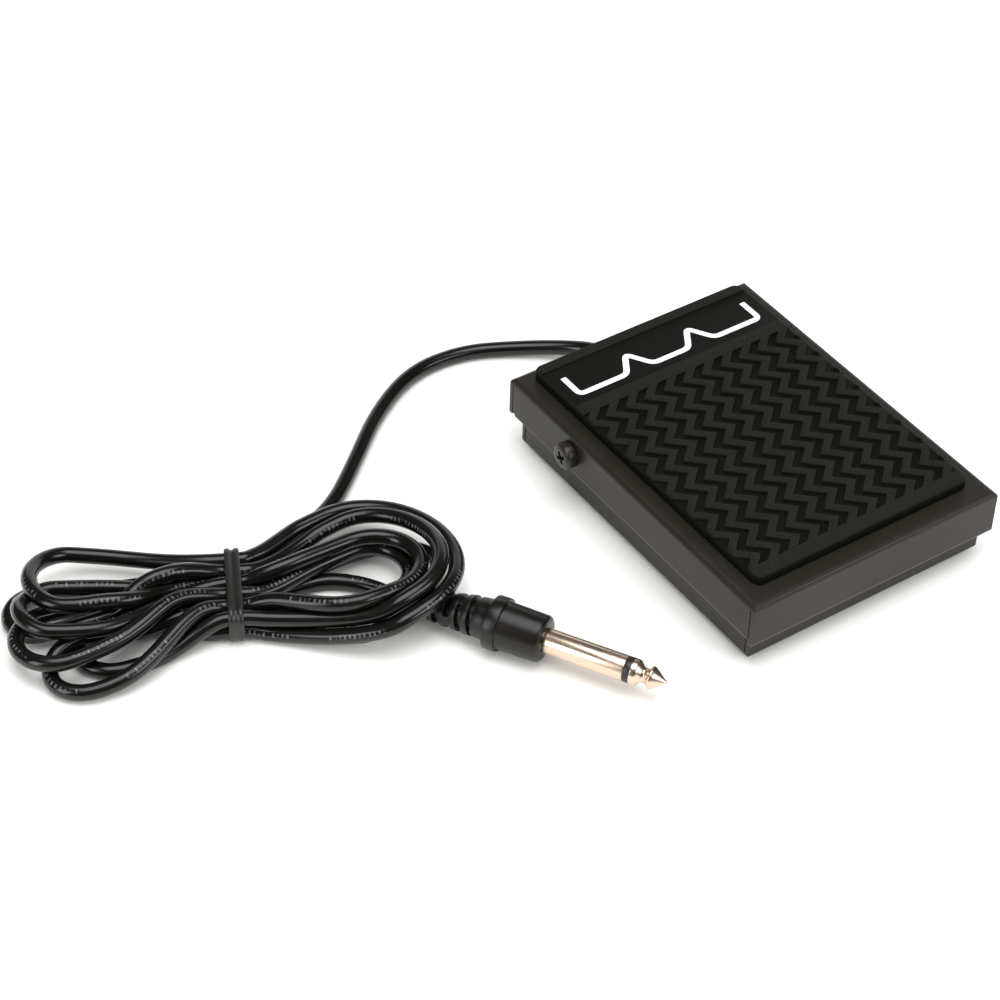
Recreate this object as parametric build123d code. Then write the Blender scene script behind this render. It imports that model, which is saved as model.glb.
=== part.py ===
from build123d import *
import os
from math import pi, radians, tan

os.makedirs("parts", exist_ok=True)

# A compact piano sustain pedal: a pressed steel lid hinged on a shallower steel base pan,
# with a micro switch between them, and its cable tied in a hank with a 6.35 mm jack plug.
# Millimetres. The floor is z = 0, the toe end is -Y, the cable leaves at +Y.

# Sheet steel
SHEET = 1.2
BEND_RADIUS = 1.5
INNER_RADIUS = 0.3
SEAM = 0.3

# Lid: an upside-down tray whose front and rear flanges run past the side flanges
LID_WIDTH = 75.0
LID_LENGTH = 100.0
LID_TOP = 20.7
SIDE_SKIRT_BOTTOM = 9.7
FRONT_SKIRT_BOTTOM = 8.5
SKIRT_CORNER = 1.2

# Base pan, inside the lid
FOOT_HEIGHT = 1.0
BASE_WIDTH = 71.5
BASE_FRONT = -47.4
BASE_REAR = 46.4
BASE_WALL_TOP = 13.0
REAR_TAB_TOP = 16.2

# Hinge between them
PIVOT_Y = 23.3
PIVOT_Z = 14.9
PIVOT_SHANK = 4.0
PIVOT_HEAD = 7.0
PIVOT_HEAD_HEIGHT = 3.0
PIVOT_RECESS_TURN = 28.0
BUSH_RADIUS = 2.8
BUSH_FLANGE = 4.0
NUT_FLAT = 7.0
NUT_HEIGHT = 3.2

# Rubber tread
MAT_WIDTH = 65.2
MAT_FRONT = -44.5
MAT_REAR = 47.4
MAT_THICKNESS = 3.0
RIDGE_DEPTH = 3.4
BAND_FRONT = 29.2
BAND_RECESS = 0.7
ZIGZAG_REAR = 25.5
ZIGZAG_FRONT = -40.7
ZIGZAG_PITCH = 5.95
ZIGZAG_PERIOD = 8.02
ZIGZAG_SWING = 4.3
ZIGZAG_CORNER = 26.2
ZIGZAG_OFFSET = 2.4
GROOVE_WIDTH = 2.9
GROOVE_DEPTH = 0.9

# Return spring
SPRING_Y = -8.0
SPRING_RADIUS = 5.5
SPRING_WIRE = 1.1
SPRING_TURNS = 6
SEAT_RADIUS = 7.2
SEAT_THICKNESS = 1.0
SEAT_BOSS_RADIUS = 4.3
SEAT_BOSS_HEIGHT = 3.0

# Circuit board with the micro switch
BOARD_Y = -26.0
BOARD_LENGTH = 36.0
BOARD_DEPTH = 16.0
BOARD_THICKNESS = 1.6
BOARD_BOTTOM = 5.2
BOARD_SCREW_X = 15.0
SWITCH_LENGTH = 12.8
SWITCH_DEPTH = 5.8
SWITCH_HEIGHT = 6.5
LEVER_ANGLE = 15.0
LEVER_HINGE_X = -6.0
LEVER_REACH = 13.6
LEVER_WIDTH = 3.6
LEVER_THICKNESS = 0.3
LEVER_LIFT = 0.3
PLUNGER_X = -1.5
PLUNGER_STROKE = 0.7
ACTUATOR_X = 7.0
ACTUATOR_HEIGHT = 1.8

# Polarity slide switch, worked from underneath
POLARITY_X = 21.0
POLARITY_Y = -4.0
POLARITY_TRAVEL = 2.0
POLARITY_DEPTH = 5.8
POLARITY_PLATE = 0.5
POLARITY_HEIGHT = 5.0
POLARITY_SCREW_X = 7.6
KNOB_LENGTH = 2.6

# Cable and its strain relief
CORD = 4.0
CORD_Z = 5.8
CLAMP_Y = 34.0
CLAMP_HEIGHT = 3.4
CLAMP_SCREW_X = 5.4
CORD_INNER_END = 27.0
RELIEF_END = 54.0

# Hank, its tie and the jack plug
HANK_HEIGHT = 11.5
TIE_X = -128.0
TIE_Y = 34.0
TIE_TURN = 62.7
TIE_WIDTH = 3.6
TIE_THICKNESS = 0.8
BUNDLE_WIDTH = 24.6
BUNDLE_HEIGHT = 8.6
PLUG_X = -75.0
PLUG_Y = -21.0
PLUG_Z = 6.65
PLUG_TURN = -60.0
PLUG_RADIUS = 3.175
PLUG_ROOT_RADIUS = 2.9
PLUG_LENGTH = 30.5
BOOT_DROOP = 8.0
BOOT_START = 17.5
BOOT_LENGTH = 13.5

floor_top = FOOT_HEIGHT + SHEET
lid_under = LID_TOP - SHEET
base_half = BASE_WIDTH / 2
lid_half = LID_WIDTH / 2
board_top = BOARD_BOTTOM + BOARD_THICKNESS
switch_top = board_top + SWITCH_HEIGHT
lever_z = switch_top + LEVER_LIFT
polarity_top = floor_top + POLARITY_HEIGHT


def block(x0, x1, y0, y1, z0, z1):
    """A box between two opposite corners."""
    size = Box(x1 - x0, y1 - y0, z1 - z0, align=(Align.MIN, Align.MIN, Align.MIN))
    return Pos(x0, y0, z0) * size


def post(x, y, z0, z1, radius):
    """An upright cylinder."""
    return Pos(x, y, z0) * Cylinder(radius, z1 - z0, align=(Align.CENTER, Align.CENTER, Align.MIN))


def rod_x(x0, x1, y, z, radius):
    """A cylinder along X."""
    return Pos((x0 + x1) / 2, y, z) * Rot(0, 90, 0) * Cylinder(radius, abs(x1 - x0))


def rod_y(y0, y1, x, z, radius):
    """A cylinder along Y."""
    return Pos(x, (y0 + y1) / 2, z) * Rot(90, 0, 0) * Cylinder(radius, abs(y1 - y0))


def both_sides(shape):
    """The shape and its mirror image across the middle of the pedal."""
    return shape + mirror(shape, Plane.YZ)


def bent_block(x0, x1, y0, y1, z0, z1, radius, bend_z):
    """A box whose edges at the height of the bend are rounded."""
    shape = block(x0, x1, y0, y1, z0, z1)
    bends = [e for e in shape.edges() if abs(e.center().Z - bend_z) < 0.01]
    return fillet(bends, radius)


def corner_seams(half, front, rear, z0, z1):
    """Thin cuts that part the side flanges from the front and rear ones."""
    cuts = []
    for x0 in (-half - SEAM, half - SHEET):
        for y0 in (front + SHEET, rear - SHEET - SEAM):
            cuts.append(block(x0, x0 + SHEET + SEAM, y0, y0 + SEAM, z0, z1))
    return cuts


def lid_pan():
    front, rear = -LID_LENGTH / 2, LID_LENGTH / 2
    outer = bent_block(
        -lid_half, lid_half, front, rear, FRONT_SKIRT_BOTTOM, LID_TOP, BEND_RADIUS, LID_TOP)
    inner = bent_block(
        -lid_half + SHEET, lid_half - SHEET, front + SHEET, rear - SHEET,
        FRONT_SKIRT_BOTTOM - SHEET, lid_under, INNER_RADIUS, lid_under)
    pan = outer - inner
    pan -= block(-lid_half, lid_half, front + SHEET + SEAM, rear, FRONT_SKIRT_BOTTOM, SIDE_SKIRT_BOTTOM)
    for cut in corner_seams(lid_half, front, rear, 0, LID_TOP - BEND_RADIUS):
        pan -= cut
    skirt_ends = [
        e for e in pan.edges().filter_by(Axis.Y)
        if abs(abs(e.center().X) - lid_half) < 0.01 and abs(e.length - SHEET) < 0.01
        and e.center().Z < SIDE_SKIRT_BOTTOM + 0.01]
    side_ends = [
        e for e in pan.edges().filter_by(Axis.X)
        if abs(e.length - SHEET) < 0.01 and abs(e.center().Z - SIDE_SKIRT_BOTTOM) < 0.01
        and e.center().Y > rear - 2 * SHEET - SEAM]
    pan = fillet(skirt_ends, SKIRT_CORNER)
    pan = chamfer([e for e in side_ends if abs(abs(e.center().X) - lid_half) < SHEET], SKIRT_CORNER)
    bush_hole = rod_x(lid_half - 2 * SHEET, lid_half + SHEET, PIVOT_Y, PIVOT_Z, BUSH_RADIUS)
    return pan - both_sides(bush_hole)


def base_pan():
    outer = bent_block(
        -base_half, base_half, BASE_FRONT, BASE_REAR, FOOT_HEIGHT, BASE_WALL_TOP, BEND_RADIUS, FOOT_HEIGHT)
    inner = bent_block(
        -base_half + SHEET, base_half - SHEET, BASE_FRONT + SHEET, BASE_REAR - SHEET,
        floor_top, BASE_WALL_TOP + SHEET, INNER_RADIUS, floor_top)
    pan = outer - inner
    seam_start = FOOT_HEIGHT + BEND_RADIUS
    for cut in corner_seams(base_half, BASE_FRONT, BASE_REAR, seam_start, BASE_WALL_TOP + SHEET):
        pan -= cut
    ear = block(base_half - SHEET, base_half, PIVOT_Y - 6, PIVOT_Y + 6, BASE_WALL_TOP - SHEET, PIVOT_Z + 3.6)
    ear = fillet([e for e in ear.edges().filter_by(Axis.X) if e.center().Z > PIVOT_Z], 3.4)
    pan += both_sides(ear)
    pan += block(-20, 20, BASE_FRONT + SHEET, BASE_FRONT + 11, BASE_WALL_TOP - SHEET, BASE_WALL_TOP)
    pan += block(-18, 18, BASE_REAR - SHEET, BASE_REAR, BASE_WALL_TOP, REAR_TAB_TOP)
    pan += block(-18, 18, BASE_REAR - 10, BASE_REAR, REAR_TAB_TOP - SHEET, REAR_TAB_TOP)
    pan -= both_sides(rod_x(base_half - 2 * SHEET, base_half + SHEET, PIVOT_Y, PIVOT_Z, PIVOT_SHANK / 2))
    pan -= rod_y(BASE_REAR - 2 * SHEET, BASE_REAR + SHEET, 0, CORD_Z, 3.0)
    pan -= block(
        POLARITY_X - 3.6, POLARITY_X + 3.6, POLARITY_Y - 1.8, POLARITY_Y + 1.8, 0, floor_top)
    for x, y, radius in screw_holes():
        pan -= post(x, y, 0, floor_top + SHEET, radius)
    return pan


def screw_holes():
    """Centres and radii of the screw holes in the pan's floor."""
    holes = [(side * BOARD_SCREW_X, BOARD_Y, 1.25) for side in (-1, 1)]
    holes += [(side * CLAMP_SCREW_X, CLAMP_Y, 1.1) for side in (-1, 1)]
    holes += [(POLARITY_X + side * POLARITY_SCREW_X, POLARITY_Y, 1.0) for side in (-1, 1)]
    return holes


def rubber_feet():
    feet = [post(x, y, 0, FOOT_HEIGHT, 5) for x in (-28, 28) for y in (-40, 39)]
    return [fillet(foot.edges().group_by(Axis.Z)[0], 0.4) for foot in feet]


def pan_screw(x, y, seat_z, end_z, shank, head, height):
    """A screw driven downwards, with a domed head and a cross recess."""
    cap = post(x, y, seat_z, seat_z + height, head)
    cap = fillet(cap.edges().group_by(Axis.Z)[-1], height * 0.45)
    slot = Pos(x, y, seat_z + height) * Box(head * 1.1, head * 0.28, height)
    cross = Pos(x, y, seat_z + height) * Box(head * 0.28, head * 1.1, height)
    return cap + post(x, y, end_z, seat_z, shank) - slot - cross


def pivot_screw(side):
    """M4 pan head screw that the lid turns on, driven in from one side."""
    seat = lid_half + 0.15
    screw = pan_screw(0, 0, seat, base_half - SHEET - 4, PIVOT_SHANK / 2, PIVOT_HEAD / 2, PIVOT_HEAD_HEIGHT)
    return Pos(0, PIVOT_Y, PIVOT_Z) * Rot(0, side * 90, 0) * Rot(0, 0, PIVOT_RECESS_TURN) * screw


def pivot_nut(side):
    """Hexagon nut against the inside of the base pan's ear."""
    nut = extrude(RegularPolygon(NUT_FLAT / 2, 6, major_radius=False), NUT_HEIGHT)
    nut -= Cylinder(PIVOT_SHANK / 2, 3 * NUT_HEIGHT)
    wall = base_half - SHEET
    low_x = wall - NUT_HEIGHT if side > 0 else -wall
    return Pos(low_x, PIVOT_Y, PIVOT_Z) * Rot(0, 90, 0) * nut


def pivot_bush(side):
    """Nylon bush pressed into the lid's side flange."""
    x0 = side * (lid_half - SHEET - 0.4)
    x1 = side * (lid_half - SHEET)
    x2 = side * lid_half
    bush = rod_x(x0, x1, PIVOT_Y, PIVOT_Z, BUSH_FLANGE) + rod_x(x1, x2, PIVOT_Y, PIVOT_Z, BUSH_RADIUS)
    return bush - rod_x(x0 - side, x2 + side, PIVOT_Y, PIVOT_Z, PIVOT_SHANK / 2 + 0.05)


def zigzag_shift(y):
    """Sideways place of the zigzag at y, with a right-hand corner at ZIGZAG_CORNER."""
    phase = (ZIGZAG_CORNER - y) / ZIGZAG_PERIOD % 1
    return ZIGZAG_SWING * (abs(2 * phase - 1) - 0.5)


def zigzag_groove(x):
    """Outline of one zigzag groove of the tread, about a line at x."""
    corners = [ZIGZAG_CORNER - k * ZIGZAG_PERIOD / 2 for k in range(1, 20)]
    rows = [ZIGZAG_REAR] + [y for y in corners if y > ZIGZAG_FRONT] + [ZIGZAG_FRONT]
    left = [(x + zigzag_shift(y) - GROOVE_WIDTH / 2, y) for y in rows]
    right = [(x + zigzag_shift(y) + GROOVE_WIDTH / 2, y) for y in rows]
    return make_face(Polyline(*left, *reversed(right), close=True))


def tread_mat():
    top = LID_TOP + MAT_THICKNESS
    half = MAT_WIDTH / 2
    mat = block(-half, half, MAT_FRONT, MAT_REAR, LID_TOP, top)
    mat = fillet(mat.edges().filter_by(Axis.Z), 2.0)
    mat = fillet([e for e in mat.edges() if abs(e.center().Z - top) < 0.01], 0.7)
    mat -= block(-half - 1, half + 1, BAND_FRONT, MAT_REAR - RIDGE_DEPTH, top - BAND_RECESS, top + 1)
    for k in range(-6, 6):
        groove = zigzag_groove(ZIGZAG_OFFSET + k * ZIGZAG_PITCH)
        mat -= Pos(0, 0, top - GROOVE_DEPTH) * extrude(groove, GROOVE_DEPTH + 1)
    return mat


def spring_seat(z, up):
    """A flanged cup that centres one end of the spring; up is 1 or -1."""
    ends = sorted((z, z + up * SEAT_THICKNESS))
    boss = sorted((z, z + up * (SEAT_THICKNESS + SEAT_BOSS_HEIGHT)))
    return post(0, SPRING_Y, *ends, SEAT_RADIUS) + post(0, SPRING_Y, *boss, SEAT_BOSS_RADIUS)


def return_spring():
    """Compression spring between the two cups."""
    low = floor_top + SEAT_THICKNESS + SPRING_WIRE / 2
    high = lid_under - SEAT_THICKNESS - SPRING_WIRE / 2
    pitch = (high - low) / SPRING_TURNS
    helix = Helix(pitch, high - low, SPRING_RADIUS, center=(0, SPRING_Y, low))
    return sweep((helix ^ 0) * Circle(SPRING_WIRE / 2), path=helix, is_frenet=True)


def circuit_board():
    board = block(
        -BOARD_LENGTH / 2, BOARD_LENGTH / 2, BOARD_Y - BOARD_DEPTH / 2, BOARD_Y + BOARD_DEPTH / 2,
        BOARD_BOTTOM, board_top)
    board = fillet(board.edges().filter_by(Axis.Z), 1.0)
    for side in (-1, 1):
        board -= post(side * BOARD_SCREW_X, BOARD_Y, 0, 20, 1.25)
    for x in (-5, 0, 5):
        board -= post(x, BOARD_Y, 0, 20, 0.55)
    return board


def board_post(side):
    x = side * BOARD_SCREW_X
    return post(x, BOARD_Y, floor_top, BOARD_BOTTOM, 2.6) - post(x, BOARD_Y, 0, 20, 1.25)


def board_screw(side):
    return pan_screw(side * BOARD_SCREW_X, BOARD_Y, board_top, FOOT_HEIGHT, 1.25, 2.4, 1.7)


def microswitch_body():
    x0, x1 = -SWITCH_LENGTH / 2, SWITCH_LENGTH / 2
    y0, y1 = BOARD_Y - SWITCH_DEPTH / 2, BOARD_Y + SWITCH_DEPTH / 2
    body = block(x0, x1, y0, y1, board_top, switch_top)
    body = fillet(body.edges().filter_by(Axis.Y).group_by(Axis.Z)[-1], 0.5)
    pocket = block(PLUNGER_X - 0.85, PLUNGER_X + 0.85, BOARD_Y - 1.55, BOARD_Y + 1.55, switch_top - 3.2, 20)
    for x in (x0 + 2.2, x1 - 2.2):
        body -= rod_y(y0 - 1, y1 + 1, x, board_top + 1.6, 0.7)
    return body - pocket


def microswitch_plunger():
    rest_top = lever_z + PLUNGER_STROKE - 0.1
    plunger = block(
        PLUNGER_X - 0.8, PLUNGER_X + 0.8, BOARD_Y - 1.5, BOARD_Y + 1.5, switch_top - 2.2, rest_top)
    return fillet(plunger.edges().filter_by(Axis.Y).group_by(Axis.Z)[-1], 0.35)


def microswitch_lever():
    """Steel strip that turns about one end, raised at rest."""
    strip = block(0, LEVER_REACH, -LEVER_WIDTH / 2, LEVER_WIDTH / 2, 0.0, LEVER_THICKNESS)
    strip = fillet(strip.edges().filter_by(Axis.Z).group_by(Axis.X)[-1], 1.2)
    return Pos(LEVER_HINGE_X, BOARD_Y, lever_z) * Rot(0, -LEVER_ANGLE, 0) * strip


def microswitch_pin(x):
    return post(x, BOARD_Y, BOARD_BOTTOM - 1.2, board_top, 0.5)


def actuator_pad():
    z0 = lid_under - ACTUATOR_HEIGHT
    pad = block(ACTUATOR_X - 2.5, ACTUATOR_X + 2.5, BOARD_Y - 3, BOARD_Y + 3, z0, lid_under)
    return fillet(pad.edges().filter_by(Axis.Z), 0.8)


def polarity_body():
    """Metal flange plate and moulded case of the slide switch."""
    y0, y1 = POLARITY_Y - POLARITY_DEPTH / 2, POLARITY_Y + POLARITY_DEPTH / 2
    plate_top = floor_top + POLARITY_PLATE
    body = block(POLARITY_X - 9.7, POLARITY_X + 9.7, y0, y1, floor_top, plate_top)
    body += block(POLARITY_X - 5, POLARITY_X + 5, y0, y1, plate_top, polarity_top)
    body -= block(
        POLARITY_X - 2.45, POLARITY_X + 2.45, POLARITY_Y - 1.6, POLARITY_Y + 1.6, 0, floor_top + 2.8)
    for side in (-1, 1):
        body -= post(POLARITY_X + side * POLARITY_SCREW_X, POLARITY_Y, 0, plate_top, 1.0)
    return body


def polarity_slider():
    x0 = POLARITY_X - (KNOB_LENGTH + POLARITY_TRAVEL) / 2
    knob = block(
        x0, x0 + KNOB_LENGTH, POLARITY_Y - 1.5, POLARITY_Y + 1.5, FOOT_HEIGHT / 2, floor_top + 2.7)
    return chamfer(knob.edges().filter_by(Axis.Y).group_by(Axis.Z)[0], 0.3)


def polarity_screw(side):
    x = POLARITY_X + side * POLARITY_SCREW_X
    return pan_screw(x, POLARITY_Y, floor_top + POLARITY_PLATE, FOOT_HEIGHT, 1.0, 1.7, 1.2)


def strain_relief():
    """Tapered rubber sleeve, flanged on both sides of the rear wall."""
    wall = BASE_REAR - SHEET
    profile = Polyline(
        (2.0, wall - 1.4), (3.5, wall - 1.4), (3.5, wall), (3.0, wall), (3.0, BASE_REAR),
        (3.8, BASE_REAR), (3.8, BASE_REAR + 1.4), (3.2, BASE_REAR + 1.4), (2.7, RELIEF_END),
        (2.0, RELIEF_END), close=True)
    return Pos(0, 0, CORD_Z) * revolve(make_face(profile), Axis.Y)


def cord_clamp():
    """Saddle that holds the cable down on the floor of the pan."""
    clamp = block(-7.6, 7.6, CLAMP_Y - 3, CLAMP_Y + 3, floor_top, floor_top + CLAMP_HEIGHT)
    hump = rod_y(CLAMP_Y - 3, CLAMP_Y + 3, 0, CORD_Z, 3.3)
    clamp = clamp + hump - block(-8, 8, CLAMP_Y - 4, CLAMP_Y + 4, 0, floor_top)
    clamp -= rod_y(CLAMP_Y - 4, CLAMP_Y + 4, 0, CORD_Z, CORD / 2)
    for side in (-1, 1):
        clamp -= post(side * CLAMP_SCREW_X, CLAMP_Y, 0, 20, 1.1)
    return clamp


def clamp_screw(side):
    return pan_screw(side * CLAMP_SCREW_X, CLAMP_Y, floor_top + CLAMP_HEIGHT, FOOT_HEIGHT, 1.1, 1.9, 1.4)


def route(points, print_as=None):
    """Straight runs joined by arcs as large as the two runs at each corner allow."""
    radii = []
    for before, corner, after in zip(points, points[1:], points[2:]):
        arriving = Vector(*corner) - Vector(*before)
        leaving = Vector(*after) - Vector(*corner)
        turn = radians(arriving.get_angle(leaving))
        radii.append(0.45 * min(arriving.length, leaving.length) / tan(turn / 2))
    if print_as:
        print(print_as, "arc radii", [round(radius, 1) for radius in radii])
    return FilletPolyline(*points, radius=radii)


def tube(points, radius, print_as=None):
    path = route(points, print_as)
    pipe = sweep((path ^ 0) * Circle(radius), path=path)
    if print_as:
        ratio = pipe.volume / (pi * radius**2 * path.length)
        print(print_as, "length", round(path.length, 1), "volume ratio", round(ratio, 4))
    return pipe


def conductor(side):
    """One insulated core, from the end of the cable's sheath to the board."""
    end_y = BOARD_Y + BOARD_DEPTH / 2 - 2
    points = [
        (side * 1.0, CORD_INNER_END, CORD_Z), (side * 1.0, 22.5, CORD_Z), (side * 4.0, 15, 4.2),
        (side * 10.5, 6, 3.4), (side * 11.5, -6, 4.0), (side * 10.2, end_y + 3, 9.0),
        (side * 9.6, end_y, board_top + 2.6), (side * 9.6, end_y, board_top)]
    return tube(points, 0.65)


def link_wire(offset):
    """A wire from the board to the polarity switch."""
    points = [
        (13.0 + offset, BOARD_Y + 6, board_top), (13.0 + offset, BOARD_Y + 6, 9.4),
        (14.2 + offset, BOARD_Y + 10, 11.4), (18.4 + offset, POLARITY_Y - 4, 11.2),
        (19.8 + offset, POLARITY_Y, polarity_top + 2.4), (19.8 + offset, POLARITY_Y, polarity_top)]
    return tube(points, 0.5)


LEAD_POINTS = [
    (0.0, RELIEF_END, CORD_Z), (0.0, 60.5, CORD_Z), (-4.5, 68.7, 3.6), (-16.7, 78.4, 2.05),
    (-29.5, 84.5, 2.0), (-45.3, 84.6, 2.05), (-62.0, 75.1, 2.0), (-77.0, 61.6, 2.05),
    (-91.0, 50.2, 2.0), (-104.0, 46.6, 2.05)]


# Ends of the hank's loops as (x, y, radius), away from the pedal and towards it
FAR_LOOPS = [(-159.5, 58.5, 10.5), (-168, 51, 10.8), (-172, 40, 10.8), (-168, 33, 10.5)]
NEAR_LOOPS = [(-92, 47, 5), (-95, 31, 15.5), (-92, 20, 14), (-99, 9.5, 14)]


def circle_hull(circles):
    """The outline that a band would take round the given circles."""
    outlines = Sketch() + [Pos(x, y) * Circle(radius) for x, y, radius in circles]
    return make_hull(outlines.edges())


def hank_envelope():
    """Outer shape of the tied cable: two lobes of loops, drawn in at the waist."""
    waist = (TIE_X, TIE_Y, BUNDLE_WIDTH / 2)
    far_lobe = circle_hull([waist] + FAR_LOOPS)
    near_lobe = circle_hull([waist] + NEAR_LOOPS)
    return extrude(far_lobe, HANK_HEIGHT) + extrude(near_lobe, HANK_HEIGHT)


def tie_block(width, height, z0, depth):
    """A rounded bar across the waist of the hank."""
    section = Pos(0, z0 + height / 2) * RectangleRounded(width, height, 3.6)
    bar = extrude(Plane.XZ * section, depth / 2, both=True)
    return Pos(TIE_X, TIE_Y, 0) * Rot(0, 0, TIE_TURN) * bar


def hank_tie():
    outer_width = BUNDLE_WIDTH + 2 * TIE_THICKNESS
    outer_height = BUNDLE_HEIGHT + 2 * TIE_THICKNESS
    outer = tie_block(outer_width, outer_height, 0, TIE_WIDTH)
    return outer - tie_block(BUNDLE_WIDTH, BUNDLE_HEIGHT, TIE_THICKNESS, TIE_WIDTH)


def cord_hank():
    slab = Pos(TIE_X, TIE_Y, 0) * Rot(0, 0, TIE_TURN) * Box(60, TIE_WIDTH, 60)
    slab -= tie_block(BUNDLE_WIDTH, BUNDLE_HEIGHT, TIE_THICKNESS, TIE_WIDTH)
    return hank_envelope() - slab - boot_space()


def cord_lead():
    return tube(LEAD_POINTS, CORD / 2, "cable") - hank_envelope()


def plug_place(shape):
    """From the plug's own axis, +X towards its tip, to where it lies."""
    return Pos(PLUG_X, PLUG_Y, PLUG_Z) * Rot(0, 0, PLUG_TURN) * shape


def turned(points):
    """A solid turned about X from a closed outline of (x, radius) points."""
    return revolve(make_face(Polyline(*points, close=True)), Axis.X)


def boot_place(shape):
    """From the sleeve's own axis, which droops from the back of the plug."""
    return plug_place(Pos(-BOOT_START, 0, 0) * Rot(0, -BOOT_DROOP, 0) * shape)


def boot_space():
    """Room for the plug's ribbed sleeve under the loops."""
    space = Rot(0, 90, 0) * Cylinder(5.3, BOOT_LENGTH, align=(Align.CENTER, Align.CENTER, Align.MIN))
    sleeve = boot_place(Pos(-BOOT_LENGTH, 0, 0) * space)
    neck = plug_place(Pos(-BOOT_START - 1, 0, 0) * Rot(0, 90, 0) * Cylinder(5.6, 6))
    return sleeve + neck


def plug_moulding():
    """Moulded barrel and collar, with a ribbed sleeve that the cable comes out of."""
    barrel = turned([
        (-BOOT_START - 0.6, 0), (-BOOT_START - 0.6, 5.0), (-14.6, 5.2), (-14.6, 6.65), (-11.4, 6.65),
        (-11.4, 5.9), (-0.8, 5.8), (0, 5.0), (0, 0)])
    barrel -= Rot(0, 90, 0) * Cylinder(PLUG_ROOT_RADIUS, 20)
    core = turned([(-BOOT_LENGTH, 2.0), (-BOOT_LENGTH, 2.9), (0.6, 3.8), (0.6, 2.0)])
    for k in range(4):
        x = -BOOT_LENGTH + 0.4 + k * 3.2
        radius = 3.7 + 0.36 * k
        core += turned([(x, 2.0), (x, radius), (x + 1.7, radius + 0.15), (x + 1.7, 2.0)])
    return plug_place(barrel) + boot_place(core) - boot_bore()


def boot_bore():
    """Cable hole through the sleeve."""
    return boot_place(Rot(0, 90, 0) * Cylinder(CORD / 2, 2 * BOOT_LENGTH + 6))


def cord_tail():
    """The last of the cable, held inside the plug's sleeve."""
    length = BOOT_LENGTH - 1.5
    piece = Rot(0, 90, 0) * Cylinder(CORD / 2, length)
    return boot_place(Pos(-BOOT_LENGTH + length / 2, 0, 0) * piece)


def plug_sleeve():
    """The plug's shank, with a thinner root held in the moulding."""
    sleeve = turned([
        (-8, 2.0), (-8, PLUG_ROOT_RADIUS), (0, PLUG_ROOT_RADIUS), (0, PLUG_RADIUS),
        (20.1, PLUG_RADIUS), (20.1, 2.0)])
    return plug_place(sleeve)


def plug_insulator():
    return plug_place(turned([
        (-9, 1.2), (-9, 2.0), (20.1, 2.0), (20.1, PLUG_RADIUS), (21.8, PLUG_RADIUS), (21.8, 1.2)]))


def plug_tip():
    tip = turned([
        (-9.6, 0), (-9.6, 1.2), (21.8, 1.2), (21.8, PLUG_RADIUS), (23.0, PLUG_RADIUS), (23.7, 2.5),
        (24.4, 1.9), (25.2, 1.8), (25.9, 2.3), (26.5, 2.8), (27.0, 2.6), (30.1, 0.45), (PLUG_LENGTH, 0.0)])
    return plug_place(tip)


NODES = {
    "base_pan": base_pan,
    "rubber_feet": lambda: Compound(children=rubber_feet()),
    "front_bump_stops": lambda: Compound(children=[
        post(x, BASE_FRONT + 5.9, BASE_WALL_TOP, BASE_WALL_TOP + 1.4, 3.5) for x in (-12, 12)]),
    "rear_bump_stops": lambda: Compound(children=[
        post(x, BASE_REAR - 5.4, REAR_TAB_TOP, lid_under - 0.3, 3.5) for x in (-11, 11)]),
    "pivot_screws": lambda: Compound(children=[pivot_screw(side) for side in (-1, 1)]),
    "pivot_nuts": lambda: Compound(children=[pivot_nut(side) for side in (-1, 1)]),
    "pivot_bushes": lambda: Compound(children=[pivot_bush(side) for side in (-1, 1)]),
    "lid_pan": lid_pan,
    "tread_mat": tread_mat,
    "spring_seat": lambda: spring_seat(floor_top, 1),
    "spring_cap": lambda: spring_seat(lid_under, -1),
    "return_spring": return_spring,
    "circuit_board": circuit_board,
    "board_posts": lambda: Compound(children=[board_post(side) for side in (-1, 1)]),
    "board_screws": lambda: Compound(children=[board_screw(side) for side in (-1, 1)]),
    "microswitch_body": microswitch_body,
    "microswitch_plunger": microswitch_plunger,
    "microswitch_lever": microswitch_lever,
    "microswitch_pins": lambda: Compound(children=[microswitch_pin(x) for x in (-5, 0, 5)]),
    "actuator_pad": actuator_pad,
    "polarity_switch": polarity_body,
    "polarity_slider": polarity_slider,
    "polarity_screws": lambda: Compound(children=[polarity_screw(side) for side in (-1, 1)]),
    "strain_relief": strain_relief,
    "cord_clamp": cord_clamp,
    "clamp_screws": lambda: Compound(children=[clamp_screw(side) for side in (-1, 1)]),
    "signal_wire": lambda: conductor(-1),
    "ground_wire": lambda: conductor(1),
    "link_wires": lambda: Compound(children=[link_wire(offset) for offset in (0, 2.4)]),
    "cord_inner": lambda: rod_y(CORD_INNER_END, RELIEF_END, 0, CORD_Z, CORD / 2),
    "cord_lead": cord_lead,
    "cord_hank": cord_hank,
    "hank_tie": hank_tie,
    "cord_tail": cord_tail,
    "plug_moulding": plug_moulding,
    "plug_sleeve": plug_sleeve,
    "plug_insulator": plug_insulator,
    "plug_tip": plug_tip,
}

for name, make in NODES.items():
    export_step(make(), f"parts/{name}.step")
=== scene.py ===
import math

import bmesh
import bpy
from mathutils import Matrix, Vector


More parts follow.
